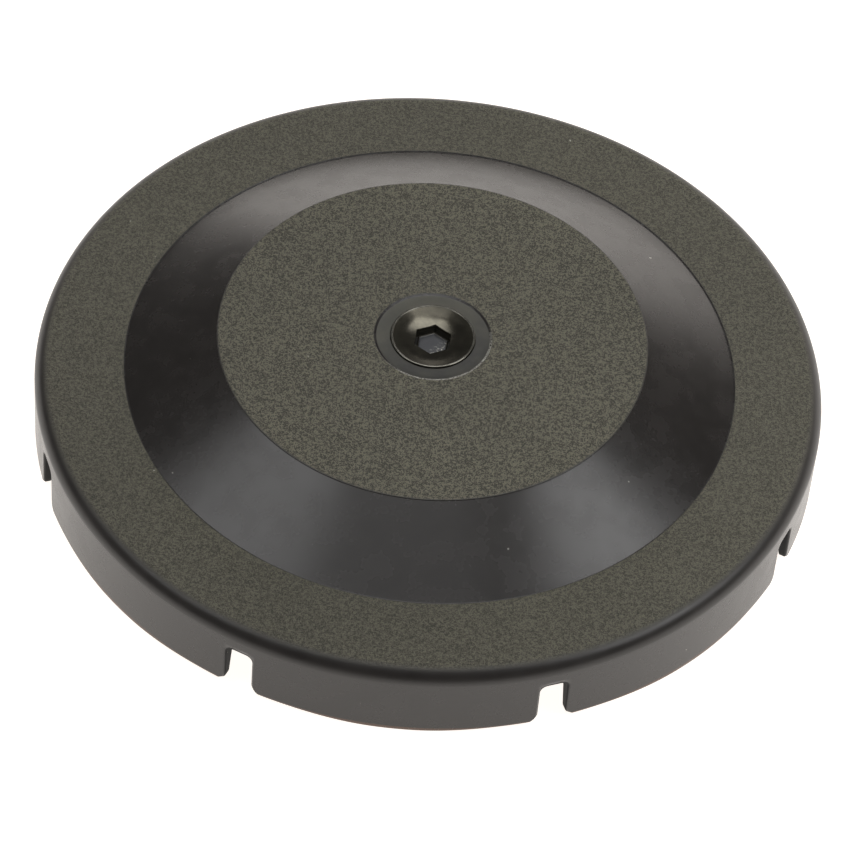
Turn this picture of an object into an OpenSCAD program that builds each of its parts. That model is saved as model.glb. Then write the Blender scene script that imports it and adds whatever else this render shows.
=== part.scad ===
// Slim counter-top magnetic security tag detacher.
// A shallow hat-shaped cover with a notched skirt stands over a ring of magnets
// on a round base, and one captive screw in the middle holds the two together.
// Origin: middle of the footprint, on the counter. +Z is up. Millimetres.

/* [Cover] */
// Outer diameter of the cover
cover_d = 97; // [94:0.5:100]
// Height of the skirt, from its lower edge to the flat rim
skirt_h = 10; // [9.5:0.1:11]
// Gap between the skirt's lower edge and the counter
skirt_gap = 0.5; // [0.3:0.1:1]
// Radius of the rounded outer edge of the rim
edge_r = 1.9; // [0.8:0.1:2.2]
// Thickness of the rim, cone and plateau
wall = 1.8; // [1.5:0.1:2]
// Thickness of the skirt where it leaves the rim
skirt_wall = 1.6; // [1.4:0.1:2]
// Thickness of the skirt at its lower edge
skirt_lip = 0.8; // [0.5:0.1:1.2]
// Height of the lead-in taper inside the skirt
lead_in_h = 4.5; // [2:0.5:5]

/* [Raised middle] */
// Diameter where the cone leaves the rim
cone_d = 75; // [74:0.5:78]
// Diameter of the flat plateau
plateau_d = 52.8; // [50:0.2:56]
// Height of the plateau over the rim
plateau_rise = 5.5; // [5:0.1:6]
// Depth of the smooth cone and of the smooth ring round the screw below the grained faces
smooth_step = 0.12; // [0.05:0.01:0.2]
// Diameter of the smooth ring round the screw
spotface_d = 14.1; // [13:0.1:16]

/* [Skirt slots] */
// Number of slots in the skirt
slot_count = 8; // [4:1:12]
// Width of a slot through the wall
slot_w = 3.5; // [2.5:0.1:4.5]
// Height of a slot through the wall
slot_h = 6.5; // [5:0.1:7]
// Bevel round the outer mouth of a slot
slot_bevel = 0.45; // [0.2:0.05:0.7]
// Radius of the two upper corners of a slot
slot_corner_r = 0.8; // [0.3:0.1:1]
// Radius of the skirt's corners beside a slot
slot_foot_r = 1.2; // [0.6:0.1:1.5]

/* [Centre screw] */
// Diameter of the screw's head
head_d = 10.4; // [9.5:0.1:11]
// Size of the hexagonal socket across its flats
socket_af = 4.1; // [3:0.1:5]
// Depth of the socket below the dished face
socket_depth = 1.2; // [0.6:0.1:1.8]
// Angle of the socket's first corner when the screw is home
socket_turn = 27; // [0:1:59]
// Depth of the dish in the head
dish_depth = 0.65; // [0.4:0.05:0.8]
// Height of the head's lip over the smooth ring
head_proud = 0.24; // [0.1:0.02:0.4]
// Diameter of the threaded shank
shank_d = 5.9; // [5.85:0.01:5.95]

/* [Base] */
// Outer diameter of the base tray
base_d = 82; // [80:0.5:83]
// Thickness of the base floor
base_floor = 2; // [1.8:0.1:2.2]
// Thickness of the tray's wall
tray_wall = 1.6; // [1.2:0.1:2]
// Number of rubber feet
foot_count = 6; // [3:3:6]
// Diameter of a foot
foot_d = 9; // [7:0.5:9]

/* [Magnet set] */
// Number of block magnets in the ring
magnet_count = 8; // [6:1:8]
// Radial length of a block magnet
magnet_len = 12; // [10:0.5:12]
// Width of a block magnet
magnet_w = 7; // [6:0.5:8]
// Height of a block magnet
magnet_h = 6; // [5:0.5:6]
// Thickness of the steel yoke
yoke_t = 2; // [1.5:0.1:2]

/* [Hidden] */

fine = 180;          // facets of the large turned shapes in a preview
small = 64;          // facets of small round details in a preview
eps = 0.01;

// heights of the cover
skirt_z = skirt_gap;
rim_z = skirt_gap + skirt_h;
top_z = rim_z + plateau_rise;
spot_z = top_z - smooth_step;
cover_r = cover_d / 2;
cone_r = cone_d / 2;
plateau_r = plateau_d / 2;
cone_slope = atan(plateau_rise / (cone_r - plateau_r));
wall_shift = wall * tan(cone_slope / 2);   // how far the inner corners of the cone move inwards
slot_bevel_r = cover_r - slot_bevel;

// heights of the magnet set, from the counter up
foot_proud = 0.8;                          // height of the base floor's underside
floor_z = foot_proud + base_floor;         // top of the base floor
yoke_z = floor_z + yoke_t;                 // top of the yoke
magnet_z = yoke_z + magnet_h;              // top of the block magnets
carrier_z = magnet_z + 0.4;                // top of the carrier
flange_z = yoke_z + 2.6;                   // top of the carrier's flange
lid_t = 0.5;
core_z = yoke_z + 5.4;                     // top of the core magnet
cap_t = 1.1;

// radii of the magnet set
yoke_r = 36;
flange_r = 36;
hub_r = 27.5;                              // outer wall of the carrier
core_r = 11;
core_gap = 0.2;
block_r0 = 13.2;                           // inner end of a block magnet
insert_circle = 31.5;                      // circle of the threaded inserts
screw_circle = 32.8;                       // circle of the carrier screws
pin_circle = 33.2;                         // circle of the locating pins
foot_circle = 34.5;
foot_sunk = 0.8;                           // depth of a foot in the base floor
tray_z = 7.2;                              // top of the tray's wall
tray_in_r = base_d / 2 - tray_wall;

// centre screw and what holds it
head_r = head_d / 2;
shank_r = shank_d / 2;
seat_z = spot_z - 1.98;                    // floor of the counterbore under the head
washer_t = 0.4;
lip_z = spot_z + head_proud;
dish_z = lip_z - dish_depth;
socket_z = dish_z - socket_depth;
socket_r = socket_af / 2 / cos(30);
neck_r = shank_r - 0.55;                   // bottom of the clip's groove
clip_z = 11.6;
clip_t = 0.5;
clip_r = 4.9;
web_z = 12.3;                              // underside of the web between clip and head
boss_r = 7.5;
boss_z = 11.4;                             // underside of the cover's middle boss
bush_r = 4.4;
bush_flange_r = 6;
bush_flange_t = 0.8;
screw_tip_z = 3;
bore_r = 3;                                // running fit on the shank

// fixings
slack = 0.1;                               // side clearance of loosely fitted parts
insert_r = 2.9;
insert_bore_r = 1.65;
insert_len = 5;
insert_boss_r = insert_r + 1.5;            // moulded boss round an insert
insert_gap_r = insert_boss_r + 0.3;        // room for the boss in the yoke and the carrier
screw_head_r = 2.8;
screw_head_h = 1.3;
screw_sunk = 0.1;                          // depth of the screw heads in the base floor
screw_key_r = 1.15;
m3_r = 1.5;
pin_r = 1.5;
pin_top_z = 10.6;
pin_boss_z = 8.2;
seal_t = 1.4;
label_t = 0.15;
label_sunk = 0.2;
label_r = 16;

// a turned ring of rectangular section
module ring(r_in, r_out, z0, z1, fn = fine) {
    rotate_extrude($fn = fn)
        translate([r_in, z0])
            square([r_out - r_in, z1 - z0]);
}

// copies of a child on a circle, the first one at angle a0
module around(count, a0 = 0) {
    for (i = [0:count - 1])
        rotate([0, 0, a0 + i * 360 / count])
            children();
}

// ---- cover ----

// outer half section of the cover, without the rounded edge
module cover_outside() {
    polygon([
        [0, skirt_z], [cover_r, skirt_z], [cover_r, rim_z - edge_r], [cover_r - edge_r, rim_z],
        [cone_r + smooth_step, rim_z], [cone_r, rim_z - smooth_step], [plateau_r, top_z], [0, top_z]
    ]);
    translate([cover_r - edge_r, rim_z - edge_r])
        circle(edge_r, $fn = small);
}

// half section of the hollow under the cover
module cover_hollow() {
    skirt_in = cover_r - skirt_wall;
    polygon([
        [0, skirt_z - 1], [cover_r - skirt_lip, skirt_z - 1], [cover_r - skirt_lip, skirt_z],
        [skirt_in, skirt_z + lead_in_h], [skirt_in, rim_z - wall],
        [cone_r - wall_shift, rim_z - wall], [plateau_r - wall_shift, top_z - wall],
        [0, top_z - wall]
    ]);
}

// front view of a slot: rounded upper corners, and rounded skirt corners beside its foot
module slot_front() {
    half = slot_w / 2;
    for (side = [-1, 1])
        translate([side * (half - slot_corner_r), slot_h - slot_corner_r])
            circle(slot_corner_r, $fn = 32);
    translate([-half + slot_corner_r, 0])
        square([slot_w - 2 * slot_corner_r, slot_h]);
    translate([-half, -1])
        square([slot_w, slot_h - slot_corner_r + 1]);
    difference() {
        translate([-half - slot_foot_r, -1])
            square([slot_w + 2 * slot_foot_r, slot_foot_r + 1]);
        for (side = [-1, 1])
            translate([side * (half + slot_foot_r), slot_foot_r])
                circle(slot_foot_r, $fn = 32);
    }
}

// the bevelled mouth of a slot: a plan view wedge cut short by a side view wedge
module slot_mouth() {
    half = slot_w / 2;
    wide = half + 2 * slot_bevel;
    intersection() {
        translate([0, 0, skirt_z - 1])
            linear_extrude(slot_h + slot_bevel + 1)
                polygon([
                    [slot_bevel_r, -half], [cover_r + slot_bevel, -wide],
                    [cover_r + slot_bevel, wide], [slot_bevel_r, half]
                ]);
        translate([0, wide, skirt_z])
            rotate([90, 0, 0])
                linear_extrude(2 * wide)
                    polygon([
                        [slot_bevel_r, -1], [cover_r + slot_bevel, -1],
                        [cover_r + slot_bevel, slot_h + 2 * slot_bevel], [slot_bevel_r, slot_h]
                    ]);
    }
}

module skirt_slot() {
    translate([cover_r - 4, 0, skirt_z])
        rotate([90, 0, 90])
            linear_extrude(6)
                slot_front();
    slot_mouth();
}

// small webs that stiffen the corner between skirt and rim
module skirt_gusset() {
    gusset_t = 1.2;
    translate([0, gusset_t / 2, 0])
        rotate([90, 0, 0])
            linear_extrude(gusset_t)
                polygon([
                    [cover_r - 5, rim_z - wall + 0.2], [cover_r - skirt_wall + 0.2, rim_z - wall + 0.2],
                    [cover_r - skirt_wall + 0.2, rim_z - wall - 3.2], [cover_r - skirt_wall - 0.4, rim_z - wall - 3.2]
                ]);
}

module top_cover() {
    boss_top = top_z - wall + 0.2;
    color([0.24, 0.24, 0.2])
        difference() {
            union() {
                difference() {
                    rotate_extrude($fn = fine) cover_outside();
                    rotate_extrude($fn = fine) cover_hollow();
                }
                ring(0, boss_r, boss_z, boss_top);
                around(2)
                    intersection() {
                        translate([pin_circle, 0, pin_boss_z])
                            cylinder(h = top_z, r = 3.2, $fn = small);
                        rotate_extrude($fn = fine) cover_outside();
                    }
                around(slot_count) skirt_gusset();
            }
            around(slot_count, 180 / slot_count) skirt_slot();
            ring(0, spotface_d / 2, spot_z, top_z + 1);
            translate([0, 0, seat_z]) cylinder(h = top_z, r = head_r + 0.1, $fn = fine);
            translate([0, 0, boss_z - 1]) cylinder(h = top_z, r = bore_r + 0.05, $fn = small);
            translate([0, 0, boss_z - 1]) cylinder(h = web_z - boss_z + 1, r = clip_r + 0.3, $fn = small);
            around(2)
                translate([pin_circle, 0, pin_boss_z - 1])
                    cylinder(h = pin_top_z - pin_boss_z + 1.3, r = pin_r + 0.1, $fn = small);
        }
}

// ---- captive screw ----

// half section of the head's dished face, cut out of a plain disc
module head_dish() {
    lip_w = 0.35;
    floor_r = 2;
    mid_r = (floor_r + head_r) / 2;
    polygon([
        [0, dish_z], [floor_r, dish_z], [mid_r, dish_z + dish_depth / 3],
        [head_r - lip_w, lip_z], [head_r - lip_w, lip_z + 1], [0, lip_z + 1]
    ]);
}

module centre_screw() {
    head_z = seat_z + washer_t;
    color([0.16, 0.16, 0.16])
        difference() {
            union() {
                ring(0, head_r, head_z, lip_z);
                translate([0, 0, screw_tip_z + 0.5]) cylinder(h = head_z - screw_tip_z, r = shank_r, $fn = small);
                translate([0, 0, screw_tip_z]) cylinder(h = 0.5, r1 = shank_r - 0.5, r2 = shank_r, $fn = small);
            }
            rotate_extrude($fn = fine) head_dish();
            translate([0, 0, socket_z])
                rotate([0, 0, socket_turn]) cylinder(h = 3, r = socket_r, $fn = 6);
            ring(neck_r, shank_r + 1, clip_z, clip_z + clip_t, small);
        }
}

// retaining clip in the groove of the shank, which keeps the screw in the cover
module screw_clip() {
    gap = 1.6;
    color([0.55, 0.55, 0.56])
        difference() {
            ring(neck_r, clip_r, clip_z, clip_z + clip_t, small);
            translate([0, -gap / 2, clip_z - 1]) cube([clip_r + 1, gap, clip_t + 2]);
        }
}

module sealing_washer() {
    color([0.1, 0.1, 0.1])
        ring(bore_r + 0.1, head_r - 0.1, seat_z, seat_z + washer_t, small);
}

// ---- base ----

module base_tray() {
    color([0.1, 0.1, 0.1])
        difference() {
            union() {
                ring(0, base_d / 2, foot_proud, floor_z);
                ring(tray_in_r, base_d / 2, foot_proud, tray_z);
                around(3, 30)
                    translate([insert_circle, 0, foot_proud])
                        cylinder(h = insert_len + 0.6, r = insert_boss_r, $fn = small);
            }
            // seat of the bush's flange
            ring(0, bush_flange_r + 0.1, floor_z - bush_flange_t, floor_z + 1, small);
            // recess of the label
            ring(0, label_r + 0.2, foot_proud - 1, foot_proud + label_sunk);
            around(3, 30)
                translate([insert_circle, 0, foot_proud - 1])
                    cylinder(h = insert_len + 1, r = insert_r, $fn = small);
            around(3, 90)
                translate([screw_circle, 0, 0]) carrier_screw_hole();
            around(foot_count)
                translate([foot_circle, 0, foot_proud - 1])
                    cylinder(h = 1 + foot_sunk, r = foot_d / 2 + slack, $fn = small);
        }
}

// countersunk clearance hole for a carrier screw
module carrier_screw_hole() {
    hole_r = m3_r + slack;
    mouth_r = screw_head_r + slack;
    translate([0, 0, foot_proud - 1]) cylinder(h = base_floor + 2, r = hole_r, $fn = small);
    translate([0, 0, foot_proud - 1]) cylinder(h = 1 + screw_sunk, r = mouth_r, $fn = small);
    translate([0, 0, foot_proud + screw_sunk - eps])
        cylinder(h = screw_head_h, r1 = mouth_r, r2 = hole_r, $fn = small);
}

module steel_yoke() {
    color([0.6, 0.6, 0.62])
        difference() {
            ring(bush_r, yoke_r, floor_z, yoke_z);
            around(3, 30)
                translate([insert_circle, 0, floor_z - 1])
                    cylinder(h = yoke_t + 2, r = insert_gap_r, $fn = small);
            around(3, 90)
                translate([screw_circle, 0, floor_z - 1])
                    cylinder(h = yoke_t + 2, r = m3_r + 0.1, $fn = small);
        }
}

// threaded bush of the centre screw, pressed into the yoke from below
module centre_bush() {
    color([0.75, 0.62, 0.32])
        difference() {
            union() {
                ring(0, bush_r, floor_z - bush_flange_t, boss_z, small);
                ring(0, bush_flange_r, floor_z - bush_flange_t, floor_z, small);
            }
            translate([0, 0, floor_z - bush_flange_t - 1]) cylinder(h = boss_z, r = bore_r, $fn = small);
        }
}

// block magnet in its place along +X
module magnet_block(clearance = 0) {
    translate([block_r0 - clearance, -magnet_w / 2 - clearance, yoke_z - (clearance > 0 ? 1 : 0)])
        cube([magnet_len + 2 * clearance, magnet_w + 2 * clearance,
              magnet_h + (clearance > 0 ? 3 : 0)]);
}

module ring_magnet(i) {
    color([0.72, 0.73, 0.75])
        rotate([0, 0, (i - 1) * 360 / magnet_count]) magnet_block();
}

module magnet_carrier() {
    color([0.85, 0.85, 0.82])
        difference() {
            union() {
                ring(core_r + core_gap, hub_r, yoke_z, carrier_z);
                ring(hub_r - 1, flange_r, yoke_z, flange_z);
            }
            around(magnet_count) magnet_block(0.05);
            around(3, 30)
                translate([insert_circle, 0, yoke_z - 1])
                    cylinder(h = 5, r = insert_gap_r, $fn = small);
            around(3, 90)
                translate([screw_circle, 0, yoke_z - 1])
                    cylinder(h = 5, r = m3_r, $fn = small);
            around(2)
                translate([pin_circle, 0, yoke_z - 1])
                    cylinder(h = 5, r = pin_r, $fn = small);
        }
}

module core_magnet() {
    color([0.72, 0.73, 0.75])
        ring(bush_r + core_gap, core_r, yoke_z, core_z);
}

module pole_cap() {
    color([0.6, 0.6, 0.62])
        ring(bush_r + core_gap, core_r, core_z, core_z + cap_t);
}

module retaining_band() {
    color([0.8, 0.81, 0.82])
        ring(hub_r, hub_r + 0.6, flange_z, carrier_z - 0.2);
}

module magnet_lid() {
    color([0.78, 0.79, 0.8])
        ring(core_r + 0.4, hub_r - 0.3, carrier_z, carrier_z + lid_t);
}

module foam_pad() {
    color([0.3, 0.3, 0.31])
        ring(core_r + 1, plateau_r - wall_shift - 0.6, carrier_z + lid_t, top_z - wall - 0.1);
}

// three countersunk screws that hold base, yoke and carrier together
module carrier_screws() {
    head_z = foot_proud + screw_sunk;
    tip_z = flange_z - 0.3;
    color([0.55, 0.55, 0.56])
        around(3, 90)
            translate([screw_circle, 0, 0])
                difference() {
                    union() {
                        translate([0, 0, head_z])
                            cylinder(h = screw_head_h, r1 = screw_head_r, r2 = m3_r, $fn = small);
                        translate([0, 0, head_z])
                            cylinder(h = tip_z - head_z, r = m3_r, $fn = small);
                    }
                    translate([0, 0, head_z - 1]) cylinder(h = 1.9, r = screw_key_r, $fn = 6);
                }
}

// M4 inserts in the base for bolts that come up through the counter
module mounting_inserts() {
    color([0.75, 0.62, 0.32])
        around(3, 30)
            translate([insert_circle, 0, foot_proud])
                difference() {
                    cylinder(h = insert_len, r = insert_r, $fn = small);
                    translate([0, 0, -1]) cylinder(h = insert_len + 2, r = insert_bore_r, $fn = small);
                }
}

// pins that stop the cover from turning on the base
module locating_pins() {
    nose = 0.4;
    color([0.65, 0.65, 0.67])
        around(2)
            translate([pin_circle, 0, 0]) {
                translate([0, 0, yoke_z])
                    cylinder(h = pin_top_z - nose - yoke_z, r = pin_r, $fn = small);
                translate([0, 0, pin_top_z - nose])
                    cylinder(h = nose, r1 = pin_r, r2 = pin_r - nose, $fn = small);
            }
}

module dust_seal() {
    color([0.12, 0.12, 0.12])
        ring(tray_in_r, base_d / 2, tray_z, tray_z + seal_t);
}

module foot(i) {
    edge = 0.3;
    color([0.08, 0.08, 0.08])
        rotate([0, 0, (i - 1) * 360 / foot_count])
            translate([foot_circle, 0, 0]) {
                translate([0, 0, edge])
                    cylinder(h = foot_proud + foot_sunk - edge, r = foot_d / 2, $fn = small);
                cylinder(h = edge, r1 = foot_d / 2 - edge, r2 = foot_d / 2, $fn = small);
            }
}

module rating_label() {
    color([0.8, 0.8, 0.78])
        ring(0, label_r, foot_proud + label_sunk - label_t, foot_proud + label_sunk);
}

top_cover();
centre_screw();
screw_clip();
sealing_washer();
base_tray();
steel_yoke();
centre_bush();
magnet_carrier();
core_magnet();
pole_cap();
retaining_band();
magnet_lid();
foam_pad();
carrier_screws();
mounting_inserts();
locating_pins();
dust_seal();
rating_label();
for (i = [1:magnet_count])
    ring_magnet(i);
for (i = [1:foot_count])
    foot(i);
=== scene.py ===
from math import atan, cos, pi, radians, sin, tan

import bmesh
import bpy
from mathutils import Matrix, Vector


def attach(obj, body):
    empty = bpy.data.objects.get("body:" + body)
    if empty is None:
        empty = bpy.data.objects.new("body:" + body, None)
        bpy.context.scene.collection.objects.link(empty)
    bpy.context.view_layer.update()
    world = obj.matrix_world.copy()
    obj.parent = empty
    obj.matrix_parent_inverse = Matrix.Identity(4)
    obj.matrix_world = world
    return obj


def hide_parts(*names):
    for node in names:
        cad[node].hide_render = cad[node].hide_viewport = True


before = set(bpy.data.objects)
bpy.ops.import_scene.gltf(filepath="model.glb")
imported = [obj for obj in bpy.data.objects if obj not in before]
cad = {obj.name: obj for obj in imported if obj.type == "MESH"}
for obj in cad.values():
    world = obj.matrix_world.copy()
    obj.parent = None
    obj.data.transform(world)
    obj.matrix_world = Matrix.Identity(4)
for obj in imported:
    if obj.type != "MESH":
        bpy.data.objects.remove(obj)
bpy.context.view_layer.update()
MM = 0.001

# ---- camera ----
# A long lens looks down on the detacher from in front, about 53 cm away and tipped
# a few degrees about its own axis.
target = Vector((0, 0, 0.5 * MM))
distance = 530.49 * MM
azimuth, elevation, tip = radians(271.03), radians(48.259), radians(-5.005)
back = Vector((cos(elevation) * cos(azimuth), cos(elevation) * sin(azimuth), sin(elevation)))
right = Vector((-sin(azimuth), cos(azimuth), 0))
up = back.cross(right)
cam_right = right * cos(tip) - up * sin(tip)
cam_up = right * sin(tip) + up * cos(tip)
lens = bpy.data.cameras.new("long_lens")
lens.sensor_width = 36
lens.lens = 180.17
lens.clip_start = 0.02
lens.clip_end = 20
camera = bpy.data.objects.new("camera", lens)
bpy.context.scene.collection.objects.link(camera)
aim_down = 0.549 * MM
place = target + back * distance - cam_up * aim_down - cam_right * (0.075 * MM)
camera.matrix_world = Matrix((
    (cam_right.x, cam_up.x, back.x, place.x),
    (cam_right.y, cam_up.y, back.y, place.y),
    (cam_right.z, cam_up.z, back.z, place.z),
    (0, 0, 0, 1)))
bpy.context.scene.camera = camera
bpy.context.scene.view_settings.view_transform = "Standard"


# ---- table ----
# A white studio table whose edges curl up into a low white wall all round,
# lit through from below so that it stays white close to the detacher. Its glow also
# carries painted shade, dimmed from 60 to 130 mm in front of the detacher, and painted
# light, raised from 50 mm behind it.
class Line:
    """A value on its way through a material's nodes. Arithmetic on it adds Math nodes."""

    def __init__(self, finish, socket):
        self.finish, self.socket = finish, socket

    def math(self, operation, *others):
        values = {i: v for i, v in enumerate((self,) + others)}
        return self.finish.node("ShaderNodeMath", {"operation": operation}, values)

    def __add__(self, other):
        return self.math("ADD", other)

    def __sub__(self, other):
        return self.math("SUBTRACT", other)

    def __rsub__(self, other):
        return self.finish.node("ShaderNodeMath", {"operation": "SUBTRACT"}, {0: other, 1: self})

    def __mul__(self, other):
        return self.math("MULTIPLY", other)

    def __truediv__(self, other):
        return self.math("DIVIDE", other)

    def __pow__(self, other):
        return self.math("POWER", other)

    __radd__ = __add__
    __rmul__ = __mul__

    def rise(self, low, high):
        """0 below low, 1 above high, smooth between."""
        return self.finish.node(
            "ShaderNodeMapRange", {"interpolation_type": "SMOOTHSTEP"},
            {"Value": self, "From Min": low, "From Max": high})


class Finish:
    """A material built from nodes, for one of the detacher's finishes."""

    def __init__(self, name):
        self.material = bpy.data.materials.new(name)
        self.material.use_nodes = True
        self.tree = self.material.node_tree
        self.tree.nodes.clear()
        self.place = self.node("ShaderNodeTexCoord", out="Object")
        split = self.node("ShaderNodeSeparateXYZ", values={"Vector": self.place})
        self.x, self.y, self.z = (Line(self, split.socket.node.outputs[i]) for i in range(3))

    def node(self, kind, settings=None, values=None, out=0):
        made = self.tree.nodes.new(kind)
        for key, value in (settings or {}).items():
            setattr(made, key, value)
        for key, value in (values or {}).items():
            if isinstance(value, Line):
                self.tree.links.new(value.socket, made.inputs[key])
            elif isinstance(value, tuple) and len(value) == 3 and made.inputs[key].type == "RGBA":
                made.inputs[key].default_value = (*value, 1)
            else:
                made.inputs[key].default_value = value
        return Line(self, made.outputs[out])

    def radius(self):
        return (self.x * self.x + self.y * self.y) ** 0.5

    def noise(self, scale, detail=2.0, roughness=0.5):
        return self.node("ShaderNodeTexNoise", values={
            "Vector": self.place, "Scale": scale, "Detail": detail, "Roughness": roughness})

    def blend(self, amount, first, second):
        """Colour that goes from first to second as amount goes from 0 to 1."""
        return self.node("ShaderNodeMix", {"data_type": "RGBA"}, {0: amount, 6: first, 7: second}, 2)

    def bump(self, height, depth):
        return self.node(
            "ShaderNodeBump", values={"Height": height, "Distance": depth, "Strength": 1.0})

    def surface(self, **sockets):
        values = {key.replace("_", " "): value for key, value in sockets.items()}
        shader = self.node("ShaderNodeBsdfPrincipled", values=values)
        end = self.tree.nodes.new("ShaderNodeOutputMaterial")
        self.tree.links.new(shader.socket, end.inputs["Surface"])
        return self.material


def mesh_piece(name, shape, finish, smooth_angle=None):
    """Turns a bmesh into an object at the origin, with its faces outwards."""
    bmesh.ops.recalc_face_normals(shape, faces=shape.faces)
    data = bpy.data.meshes.new(name)
    shape.to_mesh(data)
    shape.free()
    data.materials.append(finish)
    made = bpy.data.objects.new(name, data)
    bpy.context.scene.collection.objects.link(made)
    if smooth_angle is not None:
        data.shade_smooth()
        data.set_sharp_from_angle(angle=radians(smooth_angle))
    return made


def turned(shape, points, steps=180):
    """Spins a line of (radius, height) points in mm a full turn about the middle axis."""
    line = [shape.verts.new((r * MM, 0, z * MM)) for r, z in points]
    edges = [shape.edges.new(pair) for pair in zip(line, line[1:])]
    bmesh.ops.spin(
        shape, geom=line + edges, cent=(0, 0, 0), axis=(0, 0, 1), dvec=(0, 0, 0),
        angle=2 * pi, steps=steps, use_merge=True, use_duplicate=False)
    bmesh.ops.remove_doubles(shape, verts=shape.verts, dist=1e-7)


table_shape = bmesh.new()
turned(table_shape, [(0, 0), (300, 0), (1500, 0), (1750, 10), (1900, 45), (1980, 110), (2000, 150)], 64)
paper = Finish("white_paper")
paper_grain = paper.noise(40, 3)
# The table's glow: painted shade from 60 to 130 mm in front of the detacher, painted light behind it.
painted_table_glow = 0.22 + 0.78 * paper.y.rise(-0.13, -0.060) + 0.35 * paper.y.rise(0.05, 0.35)
paper_finish = paper.surface(
    Base_Color=paper.blend(paper_grain, (0.42, 0.42, 0.42), (0.44, 0.44, 0.44)),
    Roughness=0.9, Emission_Color=paper.blend(painted_table_glow / 1.35, (0, 0, 0), (1.0, 0.94, 0.88)),
    Emission_Strength=1.45)
table = mesh_piece("table", table_shape, paper_finish, 60)
card_shape = bmesh.new()
card_line = [card_shape.verts.new((1.45, 0, 0.0)), card_shape.verts.new((1.5, 0, 0.40))]
card_edge = card_shape.edges.new(card_line)
bmesh.ops.spin(
    card_shape, geom=card_line + [card_edge], cent=(0, 0, 0), axis=(0, 0, 1), dvec=(0, 0, 0),
    angle=radians(80), steps=24, use_merge=False, use_duplicate=False)
bmesh.ops.rotate(
    card_shape, verts=card_shape.verts, cent=(0, 0, 0), matrix=Matrix.Rotation(radians(32), 3, "Z"))
card = mesh_piece("back_card", card_shape, paper_finish, 60)

# ---- lamps ----
# A softbox hangs over each side of the table, the right one close by. A third, two dim
# panels overhead and the white card light it from behind, and the room in front is dark.
room = bpy.data.worlds.new("dark_room")
room.use_nodes = True
room.node_tree.nodes["Background"].inputs["Color"].default_value = (1, 1, 1, 1)
room.node_tree.nodes["Background"].inputs["Strength"].default_value = 0.1
bpy.context.scene.world = room


def softbox(name, azimuth_deg, elevation_deg, far, wide, tall, radiance):
    light = bpy.data.lights.new(name, "AREA")
    light.shape = "RECTANGLE"
    light.size, light.size_y = wide, tall
    light.energy = radiance * pi * wide * tall
    a, e = radians(azimuth_deg), radians(elevation_deg)
    towards = Vector((cos(e) * cos(a), cos(e) * sin(a), sin(e)))
    box = bpy.data.objects.new(name, light)
    bpy.context.scene.collection.objects.link(box)
    box.location = towards * far
    box.rotation_euler = towards.to_track_quat("Z", "Y").to_euler()


softbox("softbox_left", 184, 60, 1.3, 0.68, 0.54, 2.8)
softbox("softbox_right", -10, 49, 0.4, 0.21, 0.19, 4.2)
softbox("softbox_behind", 82, 62, 1.4, 0.60, 0.46, 4.3)
softbox("ceiling_panel", 90, 87, 1.4, 0.60, 0.62, 1.9)
softbox("ceiling_edge", 270, 73, 1.4, 0.80, 0.36, 0.6)

# ---- base tray ----
# The floor and low wall that everything stands on: one black moulding with a spark-eroded
# skin, moulded bosses for the inserts, and round pockets for the feet.
def moulded_plastic(name, dark, light, grain, roughness, depth=0.02):
    """Moulded plastic skin: fine grain, cloudy tone and paler rubbed spots."""
    skin = Finish(name)
    sand = skin.noise(grain, 3, 0.6)
    cloud = skin.noise(90, 3, 0.6)
    rubbed = skin.noise(420, 4, 0.7).rise(0.62, 0.75)
    colour = skin.blend(cloud.rise(0.3, 0.7), dark, light)
    pale = tuple(min(1.0, c * 1.5 + 0.01) for c in light)
    return skin.surface(
        Base_Color=skin.blend(rubbed * 0.5, colour, pale),
        Roughness=roughness + (sand - 0.5) * 0.2 - rubbed * 0.08,
        Normal=skin.bump(sand, depth * MM))


def give(node, material):
    cad[node].data.materials.clear()
    cad[node].data.materials.append(material)


give("base_tray", moulded_plastic(
    "tray_plastic", (0.022, 0.021, 0.020), (0.032, 0.031, 0.030), 2200, 0.55))


# ---- steel yoke and pole cap ----
# Mild steel discs, turned and then zinc plated, which close the magnets' circuit below
# and gather it in the middle. The lathe's rings show through the plating.
def turned_metal(name, dark, light, roughness, rings=9000, depth=0.004):
    """Lathe rings round the middle axis, with a patchy film over them."""
    metal = Finish(name)
    wander = metal.noise(60, 2) * (0.4 * MM)
    groove = ((metal.radius() + wander) * rings).math("SINE") * 0.5 + 0.5
    film = metal.noise(150, 4, 0.65)
    spots = metal.noise(1300, 2, 0.5).rise(0.66, 0.74)
    return metal.surface(
        Base_Color=metal.blend(film.rise(0.35, 0.68) * 0.8 + spots * 0.2, light, dark),
        Metallic=1.0,
        Roughness=roughness + film * 0.15 + spots * 0.2,
        Normal=metal.bump(groove, depth * MM))


yoke_finish = turned_metal("yoke_steel", (0.40, 0.41, 0.42), (0.56, 0.57, 0.59), 0.26)
give("steel_yoke", yoke_finish)
give("pole_cap", yoke_finish)

# ---- centre bush and mounting inserts ----
# Free-cutting brass, turned from bar. The bush is pressed up through the yoke, and the
# inserts are moulded into the tray.
brass = turned_metal("brass", (0.48, 0.33, 0.13), (0.76, 0.58, 0.27), 0.24, 14000)
give("centre_bush", brass)
give("mounting_inserts", brass)

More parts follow.
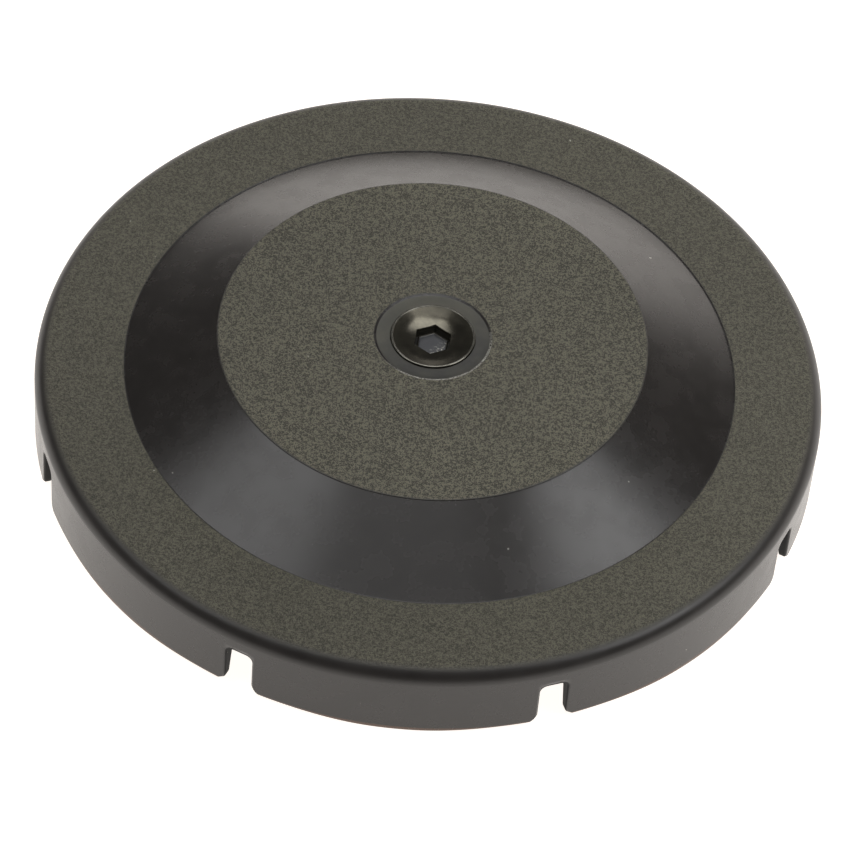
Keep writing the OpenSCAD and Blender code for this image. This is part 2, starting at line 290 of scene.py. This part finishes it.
# ---- magnet carrier ----
# A pale glass-filled nylon moulding that holds the block magnets in their pockets. Short
# glass strands show in its skin.
carrier = Finish("carrier_plastic")
strands = carrier.node("ShaderNodeTexNoise", values={
    "Vector": carrier.node("ShaderNodeMapping", values={
        "Vector": carrier.place, "Scale": (1.0, 0.18, 1.0)}),
    "Scale": 2600.0, "Detail": 2.0, "Roughness": 0.6})
strand = strands.rise(0.58, 0.68)
yellowed = carrier.noise(55, 3, 0.6)
give("magnet_carrier", carrier.surface(
    Base_Color=carrier.blend(
        strand * 0.35,
        carrier.blend(yellowed.rise(0.35, 0.7), (0.70, 0.69, 0.63), (0.60, 0.58, 0.49)),
        (0.82, 0.82, 0.79)),
    Roughness=0.5 - strand * 0.18,
    Normal=carrier.bump(strands, 0.012 * MM)))

# ---- magnets ----
# Sintered blocks round a sintered ring, all nickel plated. The plating keeps the slightly
# pebbled surface of the sinter.
nickel = Finish("nickel_plate")
pebble = nickel.noise(1500, 3, 0.55)
smear = nickel.noise(120, 4, 0.7)
nickel_finish = nickel.surface(
    Base_Color=nickel.blend(smear.rise(0.3, 0.75), (0.66, 0.65, 0.62), (0.52, 0.50, 0.46)),
    Metallic=1.0, Roughness=0.2 + smear * 0.22, Normal=nickel.bump(pebble, 0.006 * MM))
for name in cad:
    if name.startswith("ring_magnet_"):
        give(name, nickel_finish)
give("core_magnet", nickel_finish)

# ---- retaining band and magnet lid ----
# A strip of rolled aluminium is sprung round the carrier, and a brushed stainless washer
# lies over the magnets.
give("retaining_band", turned_metal(
    "band_aluminium", (0.60, 0.61, 0.62), (0.78, 0.79, 0.80), 0.3, 6000, 0.002))
lid = Finish("lid_steel")
brushing = lid.node("ShaderNodeTexNoise", values={
    "Vector": lid.node("ShaderNodeMapping", values={"Vector": lid.place, "Scale": (1.0, 26.0, 1.0)}),
    "Scale": 260.0, "Detail": 3.0, "Roughness": 0.7})
give("magnet_lid", lid.surface(
    Base_Color=lid.blend(brushing.rise(0.3, 0.7), (0.50, 0.51, 0.52), (0.66, 0.67, 0.68)),
    Metallic=1.0, Roughness=0.24 + brushing * 0.2, Normal=lid.bump(brushing, 0.004 * MM)))

# ---- foam pad and dust seal ----
# The pad is die-cut grey foam that stops the cover from drumming, and the seal is a ring
# of black sponge on the tray's wall. Their cells are open where they were cut.
def sponge(name, dark, light, cell):
    """Cut foam: round cells with thin walls between them."""
    foam = Finish(name)
    cells = foam.node("ShaderNodeTexVoronoi", {"feature": "F1"}, {"Vector": foam.place, "Scale": cell})
    small_cells = foam.node(
        "ShaderNodeTexVoronoi", {"feature": "F1"}, {"Vector": foam.place, "Scale": cell * 2.3})
    wall = cells * 0.65 + small_cells * 0.35
    return foam.surface(
        Base_Color=foam.blend(wall.rise(0.15, 0.6), dark, light),
        Roughness=0.85 + foam.noise(300) * 0.1, Normal=foam.bump(wall, 0.15 * MM))


give("foam_pad", sponge("foam", (0.030, 0.030, 0.032), (0.105, 0.105, 0.11), 1300))
give("dust_seal", sponge("seal_foam", (0.008, 0.008, 0.008), (0.030, 0.030, 0.030), 1700))

# ---- carrier screws and locating pins ----
# Three countersunk socket screws hold tray, yoke and carrier together, and two ground
# pins stop the cover from turning.
give("carrier_screws", turned_metal(
    "zinc_plate", (0.46, 0.47, 0.49), (0.66, 0.67, 0.70), 0.28, 20000, 0.002))
give("locating_pins", turned_metal(
    "pin_steel", (0.42, 0.42, 0.43), (0.58, 0.58, 0.59), 0.2, 26000, 0.001))

# ---- rating label ----
# A blank round label of matt film, a little scuffed, in a shallow recess under the tray.
label = Finish("label_film")
scuff = label.noise(700, 5, 0.75).rise(0.55, 0.72)
label_ink = label.noise(45, 3, 0.6)
give("rating_label", label.surface(
    Base_Color=label.blend(
        scuff * 0.5, label.blend(label_ink, (0.72, 0.72, 0.69), (0.64, 0.64, 0.60)),
        (0.44, 0.43, 0.40)),
    Roughness=0.42 + scuff * 0.25, Normal=label.bump(label.noise(2400), 0.003 * MM)))

# ---- feet ----
# Six moulded rubber discs, stuck into the tray's pockets. The rubber has dulled and holds
# a little dust.
rubber = Finish("foot_rubber")
bloom = rubber.noise(380, 4, 0.7)
rubber_grain = rubber.noise(3200, 2)
rubber_finish = rubber.surface(
    Base_Color=rubber.blend(bloom.rise(0.4, 0.75), (0.018, 0.018, 0.018), (0.055, 0.053, 0.050)),
    Roughness=0.62 + bloom * 0.2, Normal=rubber.bump(rubber_grain, 0.02 * MM))
for name in cad:
    if name.startswith("foot_"):
        give(name, rubber_finish)

# ---- cover ----
# One moulding in dark olive-black plastic, about 1.8 mm thick. The rim and the plateau
# carry a fine eroded grain that stands a hair above the polished cone between them.
cover_r, rim_top, plateau_top = 48.5, 10.5, 16.0
cone_foot, plateau_r, ring_r = 37.55, 26.35, 7.05
step, foot_step, wall = 0.12, 0.09, 1.8
edge_r = 1.9
skirt_foot = 0.5
cone_slope = atan((plateau_top - rim_top) / (cone_foot - plateau_r))
inner_shift = wall * tan(cone_slope / 2)


def rounded(centre_r, centre_z, across, down, start, end, steps):
    """Points of a quarter or part of an ellipse, angles counted from straight up."""
    return [
        (centre_r + across * sin(radians(start + (end - start) * i / steps)),
         centre_z + down * cos(radians(start + (end - start) * i / steps)))
        for i in range(steps + 1)]


outside = [
    (5.24, 13.9), (5.24, 15.86), (5.26, 15.88), (6.2, 15.88), (ring_r - 0.14, 15.88),
    (ring_r - 0.10, 15.885), (ring_r + 0.14, 15.995), (ring_r + 0.18, plateau_top)]
outside += [(x, plateau_top) for x in (8, 10, 14, 18, 22, 25.6)]
outside += rounded(plateau_r - 0.10, plateau_top - 0.06, 0.10, 0.06, 0, 90, 4)
lip_drop = [(plateau_r + 0.01, plateau_top - step - 0.01), (plateau_r + 0.10, plateau_top - step - 0.05)]
outside += lip_drop
cone_top = Vector((plateau_r + 0.10, plateau_top - step - 0.05))
cone_bottom = Vector((cone_foot - 0.12, rim_top - foot_step + 0.02))
outside += [tuple(cone_top.lerp(cone_bottom, i / 12)) for i in range(1, 13)]
outside += [(cone_foot - 0.05, rim_top - foot_step), (cone_foot, rim_top - foot_step + 0.015)]
outside += rounded(cone_foot + 0.06, rim_top - 0.05, 0.06, 0.05, -80, 0, 4)
outside += [(x, rim_top) for x in (38.4, 40.5, 43, 45.4)]
outside += rounded(cover_r - edge_r, rim_top - edge_r, edge_r, edge_r, 0, 90, 16)
outside += [(cover_r, h) for h in (8.1, 7.6, 7.2, 6.2, 5.2, 4.2, 3.2, 2.2, 1.4, 0.9)]
outside += rounded(cover_r - 0.2, skirt_foot + 0.2, 0.2, 0.2, 90, 180, 4)
inside = [
    (cover_r - 0.8, skirt_foot), (cover_r - 1.6, 5.0), (cover_r - 1.6, rim_top - wall - 0.5),
    (cover_r - 2.1, rim_top - wall), (cone_foot - inner_shift, rim_top - wall),
    (plateau_r - inner_shift, plateau_top - wall), (8.0, plateau_top - wall),
    (7.5, plateau_top - wall - 0.5), (7.5, 11.55), (7.35, 11.4), (5.2, 11.4), (5.2, 12.3),
    (3.05, 12.3), (3.05, 13.9), (5.24, 13.9)]
cover_shape = bmesh.new()
turned(cover_shape, outside + inside, 360)


def push(shape, faces, vec, widen, hinge=(0, 0, 0), leave=False):
    """Extrudes faces along vec and scales the new end about a point. Returns the new end."""
    pushed = bmesh.ops.extrude_face_region(shape, geom=faces)["geom"]
    moved = [part for part in pushed if isinstance(part, bmesh.types.BMVert)]
    bmesh.ops.translate(shape, verts=moved, vec=vec)
    bmesh.ops.scale(shape, verts=moved, vec=widen, space=Matrix.Translation(-Vector(hinge)))
    if not leave:
        bmesh.ops.delete(shape, geom=faces, context="FACES_ONLY")
    return [part for part in pushed if isinstance(part, bmesh.types.BMFace)]


def change(piece, other_shape, name, operation):
    """Adds a closed shape to a piece, or cuts it out, and keeps the result as its mesh."""
    bmesh.ops.recalc_face_normals(other_shape, faces=other_shape.faces)
    data = bpy.data.meshes.new(name)
    other_shape.to_mesh(data)
    other_shape.free()
    other = bpy.data.objects.new(name, data)
    bpy.context.scene.collection.objects.link(other)
    modifier = piece.modifiers.new(name, "BOOLEAN")
    modifier.operation, modifier.object, modifier.solver = operation, other, "EXACT"
    bpy.context.view_layer.update()
    ready = piece.evaluated_get(bpy.context.evaluated_depsgraph_get())
    result = bpy.data.meshes.new_from_object(ready)
    piece.modifiers.clear()
    old = piece.data
    piece.data = result
    bpy.data.meshes.remove(old)
    bpy.data.objects.remove(other)
    bpy.data.meshes.remove(data)


cover = Finish("cover_plastic")
r = cover.radius()
z = cover.z
plateau_face = r.rise(7.18 * MM, 7.28 * MM) * (1 - r.rise(26.1 * MM, 26.35 * MM))
plateau_face = plateau_face * z.rise(15.9 * MM, 15.95 * MM)
rim_face = r.rise(37.56 * MM, 37.7 * MM) * (1 - r.rise(46.7 * MM, 47.7 * MM))
rim_face = rim_face * z.rise(9.9 * MM, 10.2 * MM)
ring_face = (1 - r.rise(6.88 * MM, 6.95 * MM)) * z.rise(15.80 * MM, 15.86 * MM)
edge_face = r.rise(46.9 * MM, 47.5 * MM) * z.rise(8.4 * MM, 9.2 * MM) * (1 - rim_face)
# Inside of the skirt and the walls of the slots, below about 8 mm: painted shade, near black and rougher.
painted_shade_inner_walls = (1 - r.rise(48.34 * MM, 48.45 * MM)) * (1 - z.rise(8.0 * MM, 8.6 * MM))
# A warm brown line along the skirt's lower edge: painted warm light.
painted_warm_edge_light = 1 - z.rise(0.66 * MM, 0.90 * MM)
grained = plateau_face + rim_face
fine_grain = cover.noise(6300, 2, 0.6).rise(0.34, 0.66)
soft_grain = cover.noise(2600, 2, 0.5).rise(0.32, 0.68)
grain = fine_grain * 0.6 + soft_grain * 0.4
strength = plateau_face * 4.6 + rim_face * 1.5
clouds = cover.noise(26, 3, 0.6).rise(0.25, 0.75)
satin = cover.noise(300, 3, 0.6).rise(0.3, 0.7)
dust = cover.noise(1250, 1, 0.5).rise(0.80, 0.83) * cover.noise(140, 1).rise(0.5, 0.6)
smooth_colour = cover.blend(satin, (0.0165, 0.0142, 0.0128), (0.0205, 0.0178, 0.0162))
# The smooth ring round the screw varies in tone at random and is lighter towards the far left and darker
# towards the near right: painted light and shade.
ring_painted_shading = (cover.y * 0.8 - cover.x * 0.4).rise(-5.5 * MM, 4.0 * MM)
ring_colour = cover.blend(
    satin * 0.4 + ring_painted_shading * 0.6, (0.012, 0.0115, 0.0090), (0.066, 0.063, 0.045))
# A pale grainy line along the ring's step edge, on its near right side only: painted highlight.
step_edge_painted_highlight = r.rise(6.92 * MM, 6.98 * MM) * (1 - r.rise(7.20 * MM, 7.28 * MM)) * z.rise(15.8 * MM, 15.9 * MM)
step_edge_painted_highlight = step_edge_painted_highlight * (cover.x * 0.5 - cover.y * 0.85).rise(0.5 * MM, 5.5 * MM) * fine_grain
speck = 0.5 + (grain - 0.5) * strength
grain_colour = cover.blend(
    clouds, cover.blend(speck, (0.028, 0.0262, 0.0185), (0.136, 0.128, 0.091)),
    cover.blend(speck, (0.034, 0.0318, 0.0222), (0.154, 0.145, 0.103)))
# The smooth parts go near black on the inner walls as painted shade, and take the ring's colour on the
# ring.
plain_colour = cover.blend(
    ring_face * 0.9, cover.blend(painted_shade_inner_walls, smooth_colour, (0.006, 0.006, 0.006)), ring_colour)
skin_colour = cover.blend(grained - rim_face * 0.12, plain_colour, grain_colour)
# In the base colour the skirt's lower edge turns warm brown: painted warm light.
# The pale marks are dust specks and, on the near right of the ring's step edge, a painted highlight.
cover_finish = cover.surface(
    Base_Color=cover.blend(
        dust * 0.7 + step_edge_painted_highlight * 0.8, cover.blend(painted_warm_edge_light * 0.9, skin_colour, (0.105, 0.055, 0.034)),
        (0.55, 0.54, 0.48)),
    Roughness=0.24 + satin * 0.05 + edge_face * 0.12 + ring_face * 0.16
    + painted_shade_inner_walls * 0.5 + grained * 0.36,
    Normal=cover.bump(grain * grained + satin * 0.01, 0.06 * MM))
top = mesh_piece("cover_moulding", cover_shape, cover_finish)


# eight slots: a front view with rounded corners, pushed out through the skirt and flared
# where it meets the outer face
slot_shape = bmesh.new()
half, crown, through = 1.7, 6.1, 3.7
reach, side_flare, top_flare = 0.6, 0.6, 1.5
corners = [
    (-half, crown), (half, crown), (half, 0), (half + 2.5, 0),
    (half + 2.5, -2), (-half - 2.5, -2), (-half - 2.5, 0), (-half, 0)]
slot_shape.faces.new([
    slot_shape.verts.new(((cover_r - 4) * MM, y * MM, (skirt_foot + h) * MM)) for y, h in corners])
slot_shape.verts.ensure_lookup_table()
crowns, feet = slot_shape.verts[0:2], [slot_shape.verts[2], slot_shape.verts[7]]
for points, radius in ((crowns, 0.9), (feet, 1.2)):
    bmesh.ops.bevel(
        slot_shape, geom=points, offset=radius * MM, affect="VERTICES", segments=6,
        profile=0.5, material=-1)
mouth = slot_shape.faces[:]
mouth = push(slot_shape, mouth, (through * MM, 0, 0), (1, 1, 1), leave=True)
push(slot_shape, mouth, (reach * MM, 0, 0),
     (1, (half + side_flare) / half, (crown + top_flare) / crown), (0, 0, skirt_foot * MM))
bmesh.ops.rotate(
    slot_shape, verts=slot_shape.verts, cent=(0, 0, 0), matrix=Matrix.Rotation(radians(22.5), 3, "Z"))
bmesh.ops.spin(
    slot_shape, geom=slot_shape.verts[:] + slot_shape.edges[:] + slot_shape.faces[:],
    cent=(0, 0, 0), axis=(0, 0, 1), dvec=(0, 0, 0), angle=2 * pi * 7 / 8, steps=7,
    use_duplicate=True, use_merge=False)
change(top, slot_shape, "slots", "DIFFERENCE")

# webs in the corner between skirt and rim, and the two sockets of the locating pins
web_shape = bmesh.new()
web = web_shape.faces.new([web_shape.verts.new((x * MM, -0.6 * MM, h * MM)) for x, h in (
    (cover_r - 5, 8.9), (cover_r - 1.4, 8.9), (cover_r - 1.4, 5.5), (cover_r - 2.0, 5.5))])
thick = bmesh.ops.extrude_face_region(web_shape, geom=[web])["geom"]
bmesh.ops.translate(
    web_shape, verts=[part for part in thick if isinstance(part, bmesh.types.BMVert)],
    vec=(0, 1.2 * MM, 0))
bmesh.ops.spin(
    web_shape, geom=web_shape.verts[:] + web_shape.edges[:] + web_shape.faces[:],
    cent=(0, 0, 0), axis=(0, 0, 1), dvec=(0, 0, 0), angle=2 * pi * 7 / 8, steps=7,
    use_duplicate=True, use_merge=False)
change(top, web_shape, "webs", "UNION")
for side in (1, -1):
    for operation, radius, low, high in (("UNION", 3.2, 8.2, 10.9), ("DIFFERENCE", 1.6, 7.5, 10.9)):
        post = bmesh.new()
        bmesh.ops.create_cone(
            post, cap_ends=True, segments=48, radius1=radius * MM, radius2=radius * MM,
            depth=(high - low) * MM,
            matrix=Matrix.Translation((side * 33.2 * MM, 0, (low + high) / 2 * MM)))
        change(top, post, "pin_socket", operation)

# the skirt's lower edge hangs a little lower between the slots than beside them
for v in top.data.vertices:
    height = v.co.z / MM
    if height < 4 and (v.co.x ** 2 + v.co.y ** 2) ** 0.5 > 46 * MM:
        from_slot = (v.co.to_2d().angle_signed(Vector((1, 0)), 0) * 180 / pi + 22.5) % 45
        from_slot = min(from_slot, 45 - from_slot)
        share = min(1, max(0, (from_slot - 5.5) / 14))
        v.co.z -= 0.36 * MM * share * share * (3 - 2 * share) * (1 - height / 4)
top.data.shade_smooth()
top.data.set_sharp_from_angle(angle=radians(35))
even = top.modifiers.new("even_normals", "WEIGHTED_NORMAL")
even.keep_sharp, even.weight = True, 60
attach(top, "cover")
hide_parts("top_cover")

# ---- sealing washer and clip ----
# A black nylon washer under the screw's head, and a spring-steel clip in the groove of its
# shank, which keeps the screw in the cover when that is lifted off.
give("sealing_washer", moulded_plastic(
    "black_nylon", (0.020, 0.020, 0.020), (0.030, 0.030, 0.030), 3000, 0.42, 0.008))
clip = Finish("spring_steel")
temper = clip.noise(500, 4, 0.65)
give("screw_clip", clip.surface(
    Base_Color=clip.blend(temper.rise(0.35, 0.65), (0.20, 0.20, 0.21), (0.33, 0.33, 0.34)),
    Metallic=1.0, Roughness=0.3 + temper * 0.2, Normal=clip.bump(temper, 0.004 * MM)))

# ---- centre screw ----
# A black finished steel screw. Its head is a polished shallow bowl with a thin raised lip,
# and a six-sided socket with a softened mouth; the shank carries an M6 thread.
head_r, lip_top, lip_in = 5.2, 16.12, 4.90
bowl_r, bowl_z = 2.0, 15.46
bowl = [(bowl_r, bowl_z)]
for i in range(1, 15):
    slope = 3 + 13 * min(1, i / 10)
    across = (lip_in - 0.03 - bowl_r) / 14
    bowl.append((bowl[-1][0] + across, bowl[-1][1] + across * tan(radians(slope))))
head_line = [(0, bowl_z - 0.01), (1.0, bowl_z - 0.005)] + bowl
head_line += rounded(4.98, lip_top - 0.10, 0.10, 0.10, -70, 0, 7)[1:]
head_line += rounded(head_r - 0.12, lip_top - 0.12, 0.12, 0.12, 0, 90, 5)
head_line += [(head_r, 14.45), (head_r - 0.15, 14.3), (2.95, 14.3), (2.95, 12.1), (2.4, 12.1),
              (2.4, 11.6), (2.95, 11.6), (2.95, 11.35), (2.6, 11.0), (2.6, 3.35), (2.25, 3.0), (0, 3.0)]
screw_shape = bmesh.new()
turned(screw_shape, head_line, 144)
black = Finish("black_screw")
screw_r, screw_z = black.radius(), black.z
floor_face = (1 - screw_z.rise(14.30 * MM, 14.45 * MM)) * (1 - screw_r.rise(2.1 * MM, 2.2 * MM)) * \
    screw_z.rise(14.0 * MM, 14.1 * MM)
polish = black.noise(900, 3, 0.6)
crystals_and_glints = black.noise(3800, 3, 0.7)
swirl = black.noise(260, 4, 0.65)
rubbed_lip = screw_z.rise(16.05 * MM, 16.10 * MM) * (0.4 + swirl.rise(0.40, 0.6) * 0.6)
black_skin = black.blend(swirl.rise(0.35, 0.7), (0.055, 0.051, 0.040), (0.098, 0.091, 0.070))
# The socket's floor has a real grain in its bumps, but its pale grains show only towards its near right
# side: painted highlight.
screw_finish = black.surface(
    Base_Color=black.blend(
        floor_face, black.blend(rubbed_lip, black_skin, (0.15, 0.145, 0.125)),
        black.blend(
            crystals_and_glints.rise(0.52, 0.66) * (black.x - black.y).rise(-0.2 * MM, 2.2 * MM),
            (0.050, 0.051, 0.056), (0.60, 0.59, 0.52))),
    Metallic=0.85 - floor_face * 0.55,
    Roughness=0.11 + polish * 0.12 + floor_face * 0.25,
    Normal=black.bump(crystals_and_glints * floor_face * 0.5 + polish * 0.05, 0.05 * MM))
screw = mesh_piece("screw_turning", screw_shape, screw_finish)

socket_shape = bmesh.new()
levels = [(16.4, 5.9), (15.62, 4.52), (15.46, 4.22), (15.34, 4.08), (14.9, 3.90), (14.5, 3.7), (14.26, 3.2)]
bmesh.ops.create_circle(
    socket_shape, cap_ends=True, segments=6, radius=levels[0][1] / 2 / cos(pi / 6) * MM,
    matrix=Matrix.Translation((0, 0, levels[0][0] * MM)))
mouth = socket_shape.faces[:]
for (high, wide), (low, narrow) in zip(levels, levels[1:]):
    mouth = push(
        socket_shape, mouth, (0, 0, (low - high) * MM), (narrow / wide, narrow / wide, 1),
        leave=high == levels[0][0])
first_corner = socket_shape.verts[:][0].co.to_2d()
already = -first_corner.angle_signed(Vector((1, 0)), 0)
bmesh.ops.rotate(
    socket_shape, verts=socket_shape.verts, cent=(0, 0, 0),
    matrix=Matrix.Rotation(radians(27) - already, 3, "Z"))
change(screw, socket_shape, "socket", "DIFFERENCE")

thread_shape = bmesh.new()
tooth = [thread_shape.verts.new((x * MM, 0, h * MM)) for x, h in (
    (2.5, 3.2), (2.93, 3.55), (2.93, 3.65), (2.5, 4.0))]
start_cap = thread_shape.faces.new(tooth)
turns, turn_steps, pitch = 7, 40, 1.0 * MM
bmesh.ops.spin(
    thread_shape, geom=[start_cap], cent=(0, 0, 0), axis=(0, 0, 1),
    dvec=(0, 0, pitch / turn_steps), angle=2 * pi * turns, steps=turns * turn_steps,
    use_merge=False, use_duplicate=False)
thread = mesh_piece("screw_thread", thread_shape, screw_finish, 30)
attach(thread, "screw")
screw.data.shade_smooth()
screw.data.set_sharp_from_angle(angle=radians(28))
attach(screw, "screw")
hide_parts("centre_screw")
